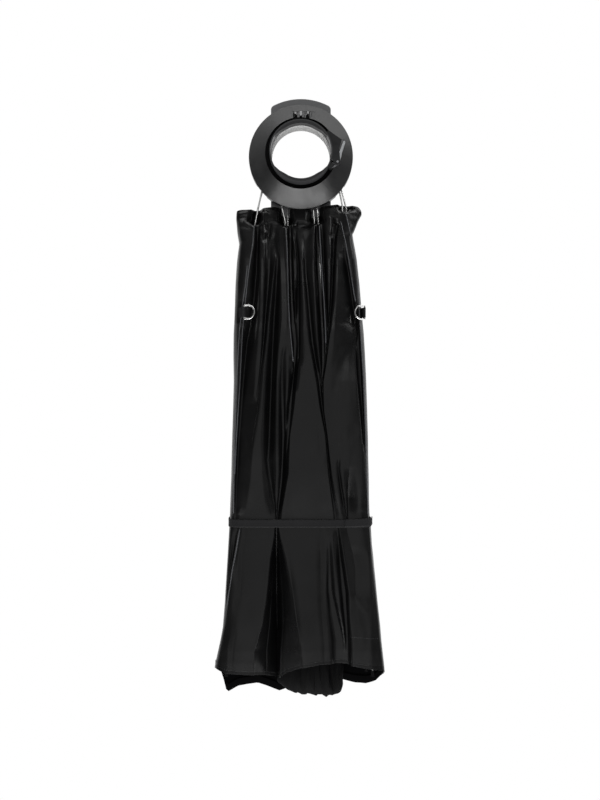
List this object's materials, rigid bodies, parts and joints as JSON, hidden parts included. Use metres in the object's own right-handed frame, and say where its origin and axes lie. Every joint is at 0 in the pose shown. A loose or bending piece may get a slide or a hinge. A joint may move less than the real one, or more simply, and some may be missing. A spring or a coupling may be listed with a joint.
{
  "type": "folding umbrella softbox",
  "caption": "Folding umbrella-style studio softbox, folded flat and tied, with a round hub whose rotating collar clamps a flash head, and steel ribs sewn into a black cloth canopy.",
  "frame": {"origin": "on the axis of the hub's bore, on the plane that the folded softbox lies on", "axes": "+Z along the bore, out of the collar's mouth; the folded canopy runs along -Y; +X to the right in the picture"},
  "size_m": [0.3115, 1.1247, 0.074],
  "materials": {
    "hub_plastic": "moulded, light sheen",
    "sleeve_plastic": "grooved, satin",
    "glide_plastic": "waxy",
    "white_plastic": "moulded",
    "collar_plastic": "fine grain",
    "band_paint": "satin black",
    "grip_rubber": "matt",
    "dark_steel": "blackened",
    "bright_steel": "drawn, bright",
    "lever_metal": "satin plated",
    "ring_steel": "nickel plated wire",
    "canopy_nylon": "coated woven nylon with a sheen",
    "webbing": "ribbed webbing"
  },
  "bodies": {
    "softbox": {"front_cone": "hub_plastic", "rear_plate": "hub_plastic", "hub_core": "hub_plastic", "bore_sleeve": "sleeve_plastic", "glide_ring": "glide_plastic", "hub_screws": "dark_steel", "lock_frame": "hub_plastic", "carrier_ring": "bright_steel", "carrier_clips": "hub_plastic", "rib_1": "bright_steel", "rib_2": "bright_steel", "rib_3": "bright_steel", "rib_4": "bright_steel", "rib_5": "bright_steel", "rib_6": "bright_steel", "rib_7": "bright_steel", "rib_8": "bright_steel", "rib_tips": "collar_plastic", "canopy": "canopy_nylon", "rear_hem": "canopy_nylon", "hem_binding": "webbing", "inner_diffuser": "canopy_nylon", "tie_strap": "webbing", "left_ring_tab": "webbing", "right_ring_tab": "webbing"},
    "collar": {"mount_collar": "collar_plastic", "clamp_band": "band_paint", "upper_grip_pad": "grip_rubber", "lower_grip_pad": "grip_rubber", "clamp_block": "collar_plastic", "catch_block": "collar_plastic", "draw_hook": "bright_steel", "lever_pin": "bright_steel"},
    "lever": {"clamp_lever": "lever_metal"},
    "lock": {"lock_tab": "white_plastic"},
    "tail": {"strap_tail": "webbing"},
    "left_ring": {"left_d_ring": "ring_steel"},
    "right_ring": {"right_d_ring": "ring_steel"}
  },
  "joints": [
    {"name": "collar_rotation", "type": "hinge", "parent": "softbox", "child": "collar", "pos_m": [0, 0, 0.0404], "axis": [0, 0, 1], "continuous": true},
    {"name": "lever_swing", "type": "hinge", "parent": "collar", "child": "lever", "pos_m": [0.06652, -0.01996, 0.05895], "axis": [0, 0, -1], "range_deg": [0, 100]},
    {"name": "lock_slide", "type": "slide", "parent": "softbox", "child": "lock", "axis": [0, -1, 0], "range_m": [0, 0.004]},
    {"name": "tail_lift", "type": "hinge", "parent": "softbox", "child": "tail", "pos_m": [0.078, -0.676, 0.0592], "axis": [0, -1, 0], "range_deg": [0, 110]},
    {"name": "left_ring_swing", "type": "hinge", "parent": "softbox", "child": "left_ring", "pos_m": [-0.1028, -0.291, 0.05168], "axis": [0, -1, 0], "range_deg": [0, 150]},
    {"name": "right_ring_swing", "type": "hinge", "parent": "softbox", "child": "right_ring", "pos_m": [0.117, -0.291, 0.04359], "axis": [0, 1, 0], "range_deg": [0, 150]}
  ]
}
